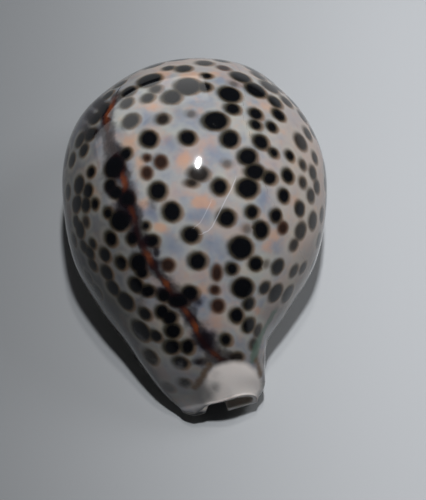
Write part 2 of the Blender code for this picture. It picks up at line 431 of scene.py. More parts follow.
    def tooth_weights(self, ring: np.ndarray, section: Section) -> np.ndarray:
        """How strongly each point of the loop is cut by the grooves between the teeth."""
        away = np.abs(ring[:, 0] - section.slit_x) - section.half_gap
        reach = np.where(ring[:, 0] < section.slit_x, self.tooth_reach_left, self.tooth_reach_right)
        reach[self.outer_total:] = self.tooth_reach_inside
        weights = 1.0 - smoothstep(away / reach, self.tooth_full_share, 1.0)
        return np.where(ring[:, 1] < section.margin_z, weights, 0.0)

    def tooth_wave(self, y: float) -> float:
        """Groove depth along the slit: 0 on a tooth, 1 between two teeth, 0 past the last."""
        wave = 0.5 - 0.5 * math.cos(2.0 * math.pi * (y - self.first_tooth_y) / self.tooth_pitch)
        starts = smoothstep(y, self.first_tooth_y - 0.1, self.first_tooth_y + self.tooth_fade)
        stops = smoothstep(y, self.last_tooth_y + 0.1, self.last_tooth_y - self.tooth_fade)
        return float(wave * starts * stops)

    def swept_back(self, ring: np.ndarray, section: Section, roof: float, right: float) -> np.ndarray:
        """How far each point of a rim lies behind the tip of the left lobe."""
        height = (ring[:, 1] - section.base_z) / (section.top_z - section.base_z)
        back = roof * smoothstep(height, *self.swept_heights)
        return back + right * smoothstep(ring[:, 0], section.slit_x - 1.0, section.right)

    def station_rows(self) -> np.ndarray:
        """Row positions of the rings, evenly spaced over the crown from end to end."""
        fine = np.linspace(0.0, len(self.sections) - 1.0, 1600)
        read = [self.section_at(t) for t in fine]
        path = np.array([(s.y, s.top_z) for s in read])
        steps = np.linalg.norm(np.diff(path, axis=0), axis=1)
        along = np.abs(np.diff(path[:, 0]))
        mixed = self.station_path_share * steps + (1.0 - self.station_path_share) * along
        reach = np.concatenate([[0.0], np.cumsum(mixed)])
        return np.interp(np.linspace(0.0, reach[-1], self.station_count), reach, fine)

    def rings(self) -> np.ndarray:
        """Every ring of the shell, from the spire end to the front.

        Returns:
            Points in millimetres, by ring, by place on the ring and by axis.
        """
        last = len(self.sections) - 1.0
        rear_taper, front_taper = self.tapering_rows
        rear_sweep, front_sweep = self.swept_rows
        most_held, none_held = self.held_back_rows
        rings = []
        for t in self.station_rows():
            section = self.section_at(t)
            middle = float(smoothstep(t, 0.0, rear_taper) * smoothstep(t, last, last - front_taper))
            flare = float(smoothstep(t, last - self.flaring_rows, last))
            ring = self.closed_ring(section, middle, flare)
            cut = self.tooth_depth * self.tooth_wave(section.y) * self.tooth_weights(ring, section)
            ring = ring + self.inward(ring) * cut[:, None]
            rear = float(smoothstep(t, rear_sweep, 0.0))
            front = float(smoothstep(t, last - front_sweep, last))
            back = -rear * self.swept_back(ring, section, self.rear_roof_back, self.rear_right_back)
            back = back + front * self.swept_back(ring, section, 0.0, self.front_right_back)
            ring[:self.outer_total, 1] = np.maximum(ring[:self.outer_total, 1], 0.0)
            points = np.column_stack([ring[:, 0], section.y + back, ring[:, 1]])
            outside = points[:self.outer_total]
            distance = np.linalg.norm(outside - np.array(self.spire_pit), axis=1)
            outside[:, 1] -= self.spire_pit_depth * np.exp(-((distance / self.spire_pit_radius) ** 2))
            held_back = float(smoothstep(t, 0.0, most_held) * smoothstep(t, none_held, most_held))
            points[self.outer_total:, 1] -= self.rear_inside_back * held_back
            rings.append(points)
        rear_rim = [self.rounded(rings[0], 1.0, step) for step in range(self.rim_count, 0, -1)]
        front_rim = [self.rounded(rings[-1], -1.0, step) for step in range(1, self.rim_count + 1)]
        return np.array(rear_rim + rings + front_rim)

    def room_inside(self, flat: np.ndarray) -> np.ndarray:
        """Radius of the largest circle inside the wall that touches the loop at each point."""
        offset = flat[None] - flat[:, None]
        ahead = (offset * self.inward(flat)[:, None]).sum(axis=2)
        square = (offset ** 2).sum(axis=2)
        return np.where(ahead > 1e-6, square / np.maximum(2.0 * ahead, 1e-6), np.inf).min(axis=1)

    def rounded(self, points: np.ndarray, way: float, step: int) -> np.ndarray:
        """One ring of a rounded rim: pushed out along the shell and drawn into the wall.

        Args:
            points: the ring where the rounding starts.
            way: 1 towards the spire end, -1 towards the front.
            step: which ring of the rim this is, counted outwards from 1.

        Returns:
            The moved ring.
        """
        angle = math.pi / 2.0 * step / self.rim_count
        flat = points[:, [0, 2]]
        cut = np.minimum(self.rim_share * self.room_inside(flat), self.rim_limits[way < 0.0])
        flat = flat + self.inward(flat) * (cut * (1.0 - math.cos(angle)))[:, None]
        return np.column_stack([flat[:, 0], points[:, 1] + way * cut * math.sin(angle), flat[:, 1]])


class SpotKind(Enum):
    """How a spot of the back is coloured: (how brown it is, how strong it is)."""

    BLACK = (0.0, 1.0)
    BROWN = (1.0, 0.75)
    GREY = (0.1, 0.8)
    FAINT = (0.1, 0.35)


@dataclass(frozen=True)
class Spot:
    """One spot as it lies in the photograph: its middle and its size in photo pixels."""

    u: float
    v: float
    wide: float
    high: float
    kind: SpotKind = SpotKind.BLACK


@dataclass(frozen=True)
class Cloud:
    """One soft patch of colour as it lies in the photograph, in photo pixels."""

    u: float
    v: float
    wide: float
    high: float
    amount: float = 1.0


BLACK, BROWN, GREY, FAINT = SpotKind.BLACK, SpotKind.BROWN, SpotKind.GREY, SpotKind.FAINT

# Spots on the right of the back
RIGHT_SPOTS = (
    Spot(216, 121, 25, 18), Spot(230, 94.5, 23, 17), Spot(233, 109, 14, 13), Spot(230, 139, 17, 17),
    Spot(256, 90, 21, 16), Spot(256, 114, 13, 12), Spot(256, 125, 12, 10), Spot(272, 127, 11, 11),
    Spot(275.5, 102, 14, 13), Spot(279, 115, 13, 13), Spot(261, 142, 17, 15), Spot(274, 153, 9, 10),
    Spot(248, 157, 18, 17), Spot(255, 172, 19, 16), Spot(248, 188, 21, 20), Spot(270, 178, 13, 13),
    Spot(288, 176, 12, 15), Spot(290, 156, 9, 10), Spot(301, 142, 13, 18, GREY),
    Spot(303, 165, 7, 11, GREY), Spot(303, 183, 7, 13, GREY), Spot(284, 196, 12, 14),
    Spot(300, 209, 10, 15), Spot(220, 187, 15, 16), Spot(227, 218, 17, 17), Spot(252, 212, 12, 13),
    Spot(276, 216, 12, 14), Spot(283, 228, 9, 13, BROWN), Spot(261, 230, 15, 18),
    Spot(247, 229, 9, 9, FAINT), Spot(241, 248, 23, 23), Spot(217, 273, 9, 15, BROWN),
    Spot(232, 269, 11, 12), Spot(256, 264, 13, 14), Spot(266, 264, 6, 10, FAINT), Spot(278, 267, 12, 16),
    Spot(243, 288, 21, 20), Spot(265, 288, 10, 13), Spot(215, 290, 8, 8, BROWN),
    Spot(218, 306, 12, 13, BROWN), Spot(249, 304, 12, 12), Spot(237, 316, 13, 15), Spot(249, 325, 13, 16),
    Spot(258, 331, 9, 12, GREY), Spot(254, 344, 6, 16, GREY), Spot(276, 293, 13, 20),
    Spot(288, 294, 11, 18), Spot(294, 271, 8, 14, GREY), Spot(303, 268, 7, 12, GREY),
    Spot(301, 231, 12, 17, GREY), Spot(294, 245, 9, 12, GREY), Spot(313, 221, 8, 20, GREY),
    Spot(311, 196, 8, 14, GREY), Spot(317, 187, 6, 14, GREY), Spot(313, 173, 8, 14, GREY),
    Spot(315, 158, 6, 12, GREY), Spot(308, 134, 9, 13, GREY), Spot(199, 174, 20, 15, GREY),
    Spot(226, 340, 11, 12), Spot(237, 357, 13, 9, GREY), Spot(203, 361, 11, 7, FAINT),
    Spot(191, 114, 8, 8, FAINT), Spot(227, 164, 9, 8, FAINT), Spot(270, 87, 20, 12, GREY),
    Spot(224, 68, 12, 5, BROWN), Spot(207, 76, 14, 4), Spot(241, 77, 20, 11), Spot(234, 84, 9, 6, FAINT),
    Spot(287, 102, 11, 12, GREY), Spot(259, 76, 16, 8, GREY), Spot(303, 117, 9, 13, GREY),
    Spot(322, 215, 4, 14, GREY), Spot(319, 240, 5, 14, GREY),
)

# Spots on the left of the back
LEFT_SPOTS = (
    Spot(188, 138, 16, 14), Spot(149, 139, 17, 17), Spot(161, 162, 12, 13, BROWN),
    Spot(147, 158, 7, 7, BROWN), Spot(147, 173, 10, 12, BROWN), Spot(163, 119, 13, 12, GREY),
    Spot(192, 183, 12, 8, GREY), Spot(172, 97, 19, 15), Spot(156, 89, 12, 9, GREY), Spot(148, 98, 12, 10),
    Spot(188, 86, 30, 16), Spot(205, 87, 11, 12), Spot(131, 121, 17, 16), Spot(127, 103, 12, 12),
    Spot(129, 91.5, 15, 12), Spot(149.5, 80, 23, 16), Spot(126, 154, 12, 13), Spot(114, 167, 22, 22),
    Spot(110, 185, 12, 12), Spot(116, 193, 12, 12), Spot(88, 191, 10, 15), Spot(95, 204, 9, 11),
    Spot(86, 205, 9, 16), Spot(79, 185, 8, 24), Spot(76, 205, 7, 18), Spot(108, 213, 10, 12),
    Spot(127, 199, 13, 16), Spot(120, 221, 20, 20), Spot(158, 191, 17, 18), Spot(172, 212, 18, 19),
    Spot(191, 235, 17, 16), Spot(198, 261, 17, 17), Spot(146, 226, 7, 8), Spot(153, 241, 12, 12),
    Spot(111, 239, 14, 15), Spot(93, 244, 7, 10), Spot(105, 255, 11, 15), Spot(121, 263, 12, 14),
    Spot(132, 239, 10, 12), Spot(138, 263, 16, 18), Spot(142, 273, 12, 10), Spot(136, 285, 16, 16),
    Spot(148, 291, 14, 12), Spot(107, 273, 13, 15), Spot(113, 288, 13, 15), Spot(90, 253, 7, 16),
    Spot(93, 265, 7, 14), Spot(126, 301.5, 18, 17), Spot(168, 265, 12, 12, BROWN), Spot(164, 296, 12, 12),
    Spot(190, 293, 16, 14), Spot(178, 301, 20, 12), Spot(145, 314, 13, 13), Spot(162, 312, 13, 14),
    Spot(170, 318, 14, 14), Spot(141, 331, 20, 21), Spot(156, 336, 12, 12), Spot(173, 331, 16, 15),
    Spot(172, 347, 16, 14), Spot(188, 347, 12, 14), Spot(181, 363, 14, 14), Spot(150.5, 357, 14, 18, GREY),
    Spot(185, 383, 8, 15, GREY), Spot(169, 388, 11, 9, GREY), Spot(80, 140, 9, 16), Spot(84, 150, 9, 14),
    Spot(90, 135, 10, 16), Spot(96, 118, 10, 14), Spot(104, 108, 9, 12), Spot(80, 230, 7, 22),
    Spot(84, 247, 6, 14), Spot(98, 292, 7, 14), Spot(169, 68, 10, 5), Spot(184, 68.5, 16, 7),
    Spot(205, 63, 22, 4, GREY), Spot(120, 84, 12, 7), Spot(108, 95, 11, 9), Spot(91, 172, 7, 14),
    Spot(78, 203, 8, 14), Spot(86, 222, 5, 16, GREY), Spot(68, 192, 4, 16), Spot(76, 222, 5, 14),
    Spot(89, 278, 6, 12), Spot(101, 306, 7, 12), Spot(72, 160, 6, 16), Spot(74, 240, 4, 14),
    Spot(113, 322, 8, 12),
)

# Peach and pink clouds under the spots
PEACH_CLOUDS = (
    Cloud(130, 143, 14, 12, 0.8), Cloud(150, 105, 20, 9, 0.6), Cloud(165, 140, 16, 14, 0.4),
    Cloud(162, 73, 9, 6, 0.9), Cloud(190, 76, 16, 6, 0.9), Cloud(213, 75, 10, 4, 0.6),
    Cloud(185, 160, 11, 11, 0.7), Cloud(203, 202, 16, 9, 1.0), Cloud(143, 205, 9, 9, 0.7),
    Cloud(160, 228, 11, 9, 0.9), Cloud(268, 247, 10, 8, 0.7), Cloud(275, 235, 9, 9, 0.7),
    Cloud(294, 200, 8, 9, 0.6), Cloud(257, 310, 8, 8, 0.5), Cloud(202, 290, 9, 13, 0.6),
    Cloud(160, 303, 11, 5, 0.5), Cloud(145, 283, 6, 5, 0.4), Cloud(215, 320, 12, 10, 0.5),
    Cloud(95, 192, 5, 9, 0.6), Cloud(140, 165, 7, 14, 0.7), Cloud(265, 106, 24, 14, 0.35),
    Cloud(240, 112, 10, 8, 0.4),
)

# Blue-grey clouds under the spots
SLATE_CLOUDS = (
    Cloud(170, 243, 18, 13, 0.9), Cloud(150, 216, 13, 9, 0.9), Cloud(108, 222, 11, 9, 0.8),
    Cloud(150, 118, 13, 9, 0.8), Cloud(195, 217, 22, 10, 0.8), Cloud(262, 197, 10, 14, 0.7),
    Cloud(225, 250, 15, 15, 0.7), Cloud(200, 120, 14, 16, 0.5), Cloud(175, 150, 12, 16, 0.5),
    Cloud(205, 245, 14, 12, 0.7), Cloud(120, 245, 16, 10, 0.6), Cloud(240, 170, 10, 20, 0.4),
    Cloud(170, 142, 9, 9, 0.9), Cloud(179, 112, 9, 8, 0.8),
)

# Dark purple smudges beside the mantle line
SMUDGES = (
    Cloud(115, 166, 15, 19, 1.0), Cloud(111, 189, 10, 12, 0.8), Cloud(126, 209, 15, 23, 1.0),
    Cloud(130, 200, 9, 18, 0.9), Cloud(148, 242, 13, 9, 0.9), Cloud(155, 263, 10, 8, 0.8),
    Cloud(163, 292, 10, 8, 0.8), Cloud(179, 300, 13, 9, 1.0), Cloud(156, 252, 5, 10, 0.8),
    Cloud(190, 318, 7, 8, 0.6), Cloud(205, 340, 14, 13, 0.9), Cloud(198, 362, 12, 6, 0.5),
    Cloud(106, 114, 8, 15, 0.9), Cloud(134, 235, 9, 14, 0.7), Cloud(142, 268, 9, 10, 0.6),
    Cloud(196, 300, 10, 9, 0.6), Cloud(140, 300, 16, 14, 0.3), Cloud(192, 298, 12, 9, 0.7),
    Cloud(136, 262, 14, 16, 0.35), Cloud(99, 104, 9, 9, 1.0), Cloud(91, 117, 8, 10, 0.9),
    Cloud(86, 130, 7, 11, 0.7), Cloud(97, 133, 6, 10, 0.7), Cloud(152, 206, 7, 12, 0.35),
    Cloud(113, 148, 7, 10, 0.7),
)

# Places where the mantle line shows rust red
RUST_FLECKS = (
    Cloud(109, 111, 9, 16), Cloud(121, 182, 8, 9), Cloud(132, 214, 5, 10, 0.35), Cloud(148, 257, 7, 9, 0.7),
    Cloud(166, 284, 7, 7, 0.85), Cloud(186, 312, 5, 6, 0.6), Cloud(196, 327, 7, 8, 1.0),
    Cloud(212, 356, 9, 6, 0.5),
)

# Grey, half-clear glaze over the front and the lower flanks
GREY_VEILS = (
    Cloud(170, 385, 34, 30, 0.9), Cloud(195, 405, 20, 14, 1.0), Cloud(130, 345, 22, 22, 0.6),
    Cloud(205, 385, 16, 20, 0.7),
)

# The same glaze over the lower left of the pale patch, darker there as painted shade
PATCH_VEILS_AND_SHADE = (
    Cloud(203, 394, 17, 16, 1.0), Cloud(214, 388, 9, 9, 0.7), Cloud(228, 402, 22, 4, 0.5),
    Cloud(216, 374, 9, 8, 0.35),
)

# Green of a thin place in the glaze, down the right of the waist, as photo pixels
GREEN_STREAK = ((274, 313), (270, 320), (265, 328), (261, 337), (257, 346), (254, 358))

# Rust-coloured stains left of the pale patch and right of it, as photo pixels
RUST_STAINS = (
    ((210, 365), (206, 370), (203, 376), (199, 382), (195, 388)),
    ((256, 360), (259, 367), (261, 375)),
)

# The line where the two mantle flaps met, as photo pixels from the spire end to the front
MANTLE_LINE = (
    (116, 96), (113, 104), (109, 112), (106, 122), (109, 142), (118, 160), (126, 183), (125, 193),
    (130, 205), (136, 219), (138, 235), (142, 247), (150, 259), (156, 271), (166, 283), (172, 293),
    (182, 307), (190, 315), (196, 327), (198, 335), (208, 347), (216, 355), (224, 361),
)

# Two fine scratches in the gloss, as photo pixels
SCRATCHES = (
    ((235, 180), (231, 190), (226, 199), (220, 211), (216, 219), (212, 227), (208, 231), (203, 233)),
    ((211, 202), (207, 210), (203, 218), (200, 223), (196, 226)),
)

# Outline of the pale patch at the front, as photo pixels
PALE_PATCH = (
    (206, 374), (212, 366), (222, 362), (235, 360), (247, 362), (256, 369), (262, 378), (264, 390),
    (258, 397), (245, 397), (232, 399), (218, 404), (208, 408), (201, 398), (202, 385),
)


@dataclass
class MarkedShell:
    """The skinned shell with every mark measured on it. Lengths are in millimetres.

    Attributes:
        form: the form of the shell.
        camera: the camera that the photo pixels belong to.
        seed: where the random draws start.
        rim_shift: how far a spot's warm rim lies to one side of it, and its olive rim to the other.
        rim_lean: how much of that shift goes down the photograph.
        round_below: a spot that faces the camera less than this is taken as round.
        round_share: size of a round spot, as a share of the ellipse that was read off for it.
        longest_radius: the largest radius of a round spot.
        longest_reach: how far from its middle a spot is measured.
        stretched: how much wider than high a hidden spot is.
        least_peach: the peach tint between the clouds.
        hidden_radius: smallest and largest radius of a hidden spot.
        hidden_spacing: the widest gap that is kept between hidden spots.
        hidden_tries: how many places are tried.
        hidden_facing: points that face the camera less than this can hold a hidden spot.
        hidden_lowest: the lowest place of a hidden spot.
        hidden_brownness: how brown a hidden spot is.
        cloud_edge: how quickly a cloud fades at its edge.
        off_plane_share: how much a distance square to a spot's plane counts.
    """

    form: ShellForm
    camera: PhotoCamera
    seed: int = 20
    rim_shift: float = 0.4
    rim_lean: float = 0.3
    round_below: float = 0.8
    round_share: float = 0.93
    longest_radius: float = 3.4
    longest_reach: float = 9.0
    stretched: float = 1.08
    least_peach: float = 0.12
    hidden_radius: tuple[float, float] = (1.1, 2.3)
    hidden_spacing: float = 1.5
    hidden_tries: int = 2600
    hidden_facing: float = 0.16
    hidden_lowest: float = 5.0
    hidden_brownness: float = 0.1
    cloud_edge: float = 1.4
    off_plane_share: float = 0.6

    def __post_init__(self) -> None:
        """Skin the shell, centre it on the CAD box and prepare it for casting rays."""
        rings = self.form.rings()
        flat = rings.reshape(-1, 3)
        low, high = (np.array(corner) / MM for corner in CAD_BOX)
        middle = (flat.min(axis=0) + flat.max(axis=0)) / 2.0
        shift = (low + high) / 2.0 - middle
        shift[2] = low[2] - flat[:, 2].min()
        self.rings = rings + shift
        self.points = self.rings.reshape(-1, 3)
        self.faces = self.skin()
        self.mesh = bpy.data.meshes.new("cowrie_enamel")
        self.mesh.from_pydata((self.points * MM).tolist(), [], self.faces)
        self.mesh.validate()
        self.mesh.shade_smooth()
        normals = np.empty(len(self.points) * 3)
        self.mesh.vertex_normals.foreach_get("vector", normals)
        self.normals = normals.reshape(-1, 3)
        self.tree = BVHTree.FromPolygons([Vector(p) for p in self.points], self.faces)
        self.outside = np.tile(np.arange(self.rings.shape[1]) < self.form.outer_total, len(self.rings))
        self.photo = self.camera.pixels(self.points)
        towards = self.camera.axes()[3] - self.points
        towards /= np.linalg.norm(towards, axis=1)[:, None]
        self.facing = (self.normals * towards).sum(axis=1)

    def skin(self) -> list[tuple[int, ...]]:
        """Faces between the rings, and the caps of both rims.

        Returns:
            Tuples of point numbers, wound so that normals point out of the wall.
        """
        count, size = self.rings.shape[:2]
        first = np.arange(count * size).reshape(count, size)
        following = np.roll(first, -1, axis=1)
        quads = np.stack([first[:-1], first[1:], following[1:], following[:-1]], axis=-1).reshape(-1, 4)
        faces = [tuple(quad) for quad in quads.tolist()]
        for row, turn in ((0, -1), (count - 1, 1)):
            outline = [Vector((x, z, 0.0)) for x, _, z in self.rings[row]]
            for triangle in tessellate_polygon([outline]):
                corners = [row * size + index for index in triangle]
                a, b, c = (self.rings[row][index] for index in triangle)
                away = np.cross(b - a, c - a)[1] * -turn
                faces.append(tuple(corners if away > 0.0 else corners[::-1]))
        return faces

    def cast(self, u: float, v: float) -> tuple[np.ndarray, np.ndarray] | None:
        """Find where the ray through a photo pixel meets the shell.

        Args:
            u: pixel column.
            v: pixel row.

        Returns:
            The place and the surface normal there, or None past the outline.
        """
        place = self.camera.axes()[3]
        hit, normal, _, _ = self.tree.ray_cast(Vector(place), Vector(self.camera.ray(u, v)))
        if hit is None:
            return None
        return np.array(hit), np.array(normal)

    def laid(self, u: float, v: float, hit: np.ndarray, normal: np.ndarray) -> np.ndarray:
        """Where the ray through a photo pixel meets the plane that touches the shell at hit."""
        place, way = self.camera.axes()[3], self.camera.ray(u, v)
        return place + way * ((hit - place) @ normal) / (way @ normal)

    def spot_axes(self, spot: Spot) -> tuple[np.ndarray, np.ndarray, np.ndarray] | None:
        """Lay a spot of the photograph on the shell.

        Args:
            spot: the spot in photo pixels.

        Returns:
            Its middle and its two half axes, or None if it misses the shell.
        """
        found = self.cast(spot.u, spot.v)
        if found is None:
            return None
        hit, normal = found
        across = self.laid(spot.u + spot.wide / 2.0, spot.v, hit, normal) - hit
        along = self.laid(spot.u, spot.v - spot.high / 2.0, hit, normal) - hit
        right, up, _, place = self.camera.axes()
        view = self.camera.ray(spot.u, spot.v)
        facing = -float(normal @ view)
        if facing < self.round_below:
            level = np.cross(normal, view)
            level /= np.linalg.norm(level)
            cosine, sine = (level @ right) ** 2, (level @ up) ** 2
            boxed = math.sqrt((cosine + facing ** 2 * sine) * (sine + facing ** 2 * cosine))
            scale = np.linalg.norm(hit - place) / self.camera.focal_px
            radius = math.sqrt(spot.wide * spot.high / (4.0 * boxed)) * scale * self.round_share
            radius = min(radius, self.longest_radius)
            across, along = level * radius, np.cross(normal, level) * radius
        return hit, across, along

    def inside_by(self, points: np.ndarray, middle: np.ndarray, across: np.ndarray,
                  along: np.ndarray) -> np.ndarray:
        """How far points lie inside an ellipse on the surface, negative outside it.

        Args:
            points: the places to measure.
            middle: the middle of the ellipse.
            across: one half axis.
            along: the other half axis.

        Returns:
            Millimetres inside the edge.
        """
        offset = points - middle
        grid = np.array([[across @ across, across @ along], [across @ along, along @ along]])
        sides = np.column_stack([offset @ across, offset @ along]) @ np.linalg.inv(grid)
        normal = np.cross(across, along)
        normal /= np.linalg.norm(normal)
        size = math.sqrt(np.linalg.norm(across) * np.linalg.norm(along))
        off_plane = offset @ normal
        reach = np.sqrt((sides ** 2).sum(axis=1) + (self.off_plane_share * off_plane / size) ** 2)
        return (1.0 - reach) * size

    def hidden_spots(self, taken: list[tuple[np.ndarray, float]]
                     ) -> list[tuple[np.ndarray, np.ndarray, float]]:
        """Scatter spots over the back and the flanks where the photograph doesn't reach.

        Args:
            taken: middles and radii of the spots that are there already.

        Returns:
            Middle, normal and radius of each new spot.
        """
        rng = np.random.default_rng(self.seed)
        unseen = self.facing < self.hidden_facing
        high_up = self.points[:, 2] > self.hidden_lowest
        numbers = np.flatnonzero(self.outside & unseen & high_up)
        middles = [middle for middle, _ in taken]
        radii = [radius for _, radius in taken]
        found = []
        for number in rng.choice(numbers, self.hidden_tries):
            place, normal = self.points[number], self.normals[number]
            radius = rng.uniform(*self.hidden_radius)
            gaps = np.linalg.norm(np.array(middles) - place, axis=1) - np.array(radii) - radius
            if gaps.min() < self.hidden_spacing * rng.uniform(-0.1, 1.0):
                continue
            middles.append(place)
            radii.append(radius)
            found.append((place, normal, radius))
        return found

    def all_spots(self) -> list[tuple[np.ndarray, np.ndarray, np.ndarray, float, float]]:
        """Every spot laid on the shell.

        Returns:
            Middle, both half axes, brownness and strength of each.
        """
        spots = []
        for spot in RIGHT_SPOTS + LEFT_SPOTS:
            axes = self.spot_axes(spot)
            if axes is None:
                LOG.warning("spot at %s, %s misses the shell", spot.u, spot.v)
                continue
            spots.append((*axes, *spot.kind.value))
        taken = [(spot[0], max(np.linalg.norm(spot[1]), np.linalg.norm(spot[2]))) for spot in spots]
        for middle, normal, radius in self.hidden_spots(taken):
            level = np.cross(normal, (0.0, 0.0, 1.0))
            level /= np.linalg.norm(level)
            strength = 0.35 + 0.65 * float(smoothstep(middle[2], 7.0, 15.0))
            across, along = level * radius * self.stretched, np.cross(level, normal) * radius
            spots.append((middle, across, along, self.hidden_brownness, strength))
        LOG.info("spots: %d from the photograph, %d in all", len(taken), len(spots))
        return spots

    def measure_spots(self) -> dict[str, np.ndarray]:
        """Measure the spots and their two coloured rims.

        Returns:
            The attributes spot, warm_rim, olive_rim, brownness and strength.
        """
        right, up, _, _ = self.camera.axes()
        lean = (right - self.rim_lean * up) * self.rim_shift
        names = ("spot", "warm_rim", "olive_rim")
        marks = {name: np.full(len(self.points), -FAR_OFF_MM) for name in names}
        marks["brownness"] = np.zeros(len(self.points))
        marks["strength"] = np.ones(len(self.points))
        for middle, across, along, brownness, strength in self.all_spots():
            distance = np.linalg.norm(self.points - middle, axis=1)
            near = np.flatnonzero(self.outside & (distance < self.longest_reach))
            for name, shift in (("spot", 0.0), ("warm_rim", 1.0), ("olive_rim", -1.0)):
                depth = self.inside_by(self.points[near], middle + lean * shift, across, along)
                better = depth > marks[name][near]
                marks[name][near[better]] = depth[better]
                if name == "spot":
                    marks["brownness"][near[better]] = brownness
                    marks["strength"][near[better]] = strength
        return marks

    def line_distance(self, pixels: tuple[tuple[float, float], ...]) -> np.ndarray:
        """Distance of every point from a line drawn on the photograph.

        Args:
            pixels: the line's photo pixels.

        Returns:
            Millimetres from the line as it lies on the shell, negative on its left side.
        """
        knots = [found for found in (self.cast(u, v) for u, v in pixels) if found is not None]
        nearest = np.full(len(self.points), FAR_OFF_MM)
        for (start, normal), (end, _) in zip(knots, knots[1:]):
            way = end - start
            offset = self.points - start
            part = np.clip(offset @ way / (way @ way), 0.0, 1.0)
            distance = np.linalg.norm(offset - part[:, None] * way, axis=1)
            signed = np.where(offset @ np.cross(way, normal) > 0.0, distance, -distance)
            nearest = np.where(distance < np.abs(nearest), signed, nearest)
        return np.where(self.outside, nearest, FAR_OFF_MM)

    def cloud_cover(self, clouds: tuple[Cloud, ...]) -> np.ndarray:
        """How much of some soft patches lies over each point, from 0 to 1."""
        cover = np.zeros(len(self.points))
        for cloud in clouds:
            across = (self.photo[:, 0] - cloud.u) / cloud.wide
            down = (self.photo[:, 1] - cloud.v) / cloud.high
            cover = np.maximum(cover, cloud.amount * np.exp(-(across ** 2 + down ** 2) * self.cloud_edge))
        return cover * smoothstep(self.facing, 0.0, 0.2) * self.outside

    def patch_depth(self, outline: tuple[tuple[float, float], ...]) -> np.ndarray:
        """How far each point lies inside an outline drawn on the photograph.

        Args:
            outline: the outline's photo pixels, in order.

        Returns:
            Millimetres inside its edge, negative outside.
        """
        corners = np.array(outline, dtype=float)
        nearest = np.full(len(self.points), 1e9)
        crossings = np.zeros(len(self.points), dtype=int)
        u, v = self.photo[:, 0], self.photo[:, 1]
        for start, end in zip(corners, np.roll(corners, -1, axis=0)):
            way = end - start
            part = np.clip((self.photo - start) @ way / (way @ way), 0.0, 1.0)
            distance = np.linalg.norm(self.photo - start - part[:, None] * way, axis=1)
            nearest = np.minimum(nearest, distance)
            if start[1] != end[1]:
                crosses = (start[1] > v) != (end[1] > v)
                crossings += crosses & (u < start[0] + way[0] * (v - start[1]) / way[1])
        scale = self.camera.distance / self.camera.focal_px
        depth = np.where(crossings % 2 == 1, nearest, -nearest) * scale
        return np.where(self.outside & (self.facing > -0.2), depth, -FAR_OFF_MM)

    def marks(self) -> dict[str, np.ndarray]:
        """Measure every mark of the shell.

        Returns:
            One array of numbers for each attribute that the glaze reads.
        """
        marks = self.measure_spots()
        marks["mantle"] = self.line_distance(MANTLE_LINE)
        for number, line in enumerate(SCRATCHES):
            marks[f"scratch_{number}"] = self.line_distance(line)
            marks[f"near_scratch_{number}"] = smoothstep(np.abs(marks[f"scratch_{number}"]), 1.2, 0.8)
        marks["peach"] = np.maximum(self.cloud_cover(PEACH_CLOUDS), self.least_peach * self.outside)
        marks["slate"] = self.cloud_cover(SLATE_CLOUDS)
        marks["smudge"] = self.cloud_cover(SMUDGES)
        marks["fleck"] = self.cloud_cover(RUST_FLECKS)
        marks["veil"] = self.cloud_cover(GREY_VEILS)
        # grey glaze and painted shade at the lower left of the pale patch
        marks["patch_veil_and_shade"] = self.cloud_cover(PATCH_VEILS_AND_SHADE)
        marks["green"] = np.abs(self.line_distance(GREEN_STREAK))
        marks["rust"] = np.min([np.abs(self.line_distance(stain)) for stain in RUST_STAINS], axis=0)
        marks["pale"] = self.patch_depth(PALE_PATCH)
        side, along, height = self.points.T
        marks["underside"] = np.where(self.outside, smoothstep(height, 9.5, 3.5), 0.0)
        marks["underside"] *= smoothstep(self.normals[:, 2], 0.1, -0.35)
        marks["flank"] = self.outside * smoothstep(height, 34.0, 16.0)
        # painted shade: the left flank is darkened below the crown, where less light falls
        marks["left_flank_painted_shade"] = self.outside * smoothstep(side, -3.0, -22.0) * smoothstep(height, 47.0, 31.0)
        warm = np.maximum(smoothstep(side, 12.0, 25.0), smoothstep(along, 22.0, 36.0))
        marks["warm_flank"] = warm * self.outside
        marks["outside"] = self.outside * 1.0
        # pale edge of the margin callus and painted highlight: pale colour where the camera sees the outline
        # edge-on, from the middle to the front
        outline = smoothstep(self.facing, 0.18, 0.04) * smoothstep(self.facing, -0.14, -0.02)
        marks["pale_margin_and_highlight"] = outline * smoothstep(along, 4.0, -8.0) * self.outside
        marks["inside"] = np.where(self.outside, 0.0, 1.0)
        # pale thin edge of the glaze and painted highlight: the last two rings of the front rim, right of
        # the slit
        rim = np.zeros(self.rings.shape[:2])
        rim[-2:] = 1.0
        marks["rim"] = rim.ravel() * smoothstep(side, 1.5, 3.5)
        # painted light: the front of the canal is made lighter, standing in for light that reaches into it
        marks["canal"] = marks["inside"] * smoothstep(along, -33.0, -37.0)
        return marks

    def build(self) -> bpy.types.Object:
        """Write the marks on the mesh and put the shell in the scene.

        Returns:
            The shell's object.
        """
        for name, values in self.marks().items():
            attribute = self.mesh.attributes.new(name, "FLOAT", "POINT")
            attribute.data.foreach_set("value", values.astype(np.float32))
        shell = bpy.data.objects.new("cowrie_enamel", self.mesh)
        bpy.context.scene.collection.objects.link(shell)
        return shell


@dataclass(frozen=True)
class GlazeLayer:
    """One layer of colour under the gloss, laid over the layers before it; most are pigment, a few are
    painted light and painted shade.

    Attributes:
        name: what the layer is.
        colour: its sRGB hex colour.
        mark: the surface attribute that says where it lies.
        starts: value of that attribute where the layer starts to show.
        full: value where it shows in full.
        amount: how opaque it is in full.
        wobble: how far noise moves its edge, in the attribute's own unit.
        grain_mm: size of that noise.
        within: a second attribute that the layer is weakened by.
        two_sided: True if the attribute's sign only tells the two sides of a line apart.
    """

    name: str
    colour: str
    mark: str
    starts: float
    full: float
    amount: float = 1.0
    wobble: float = 0.0
    grain_mm: float = 3.0
    within: str = ""
    two_sided: bool = False


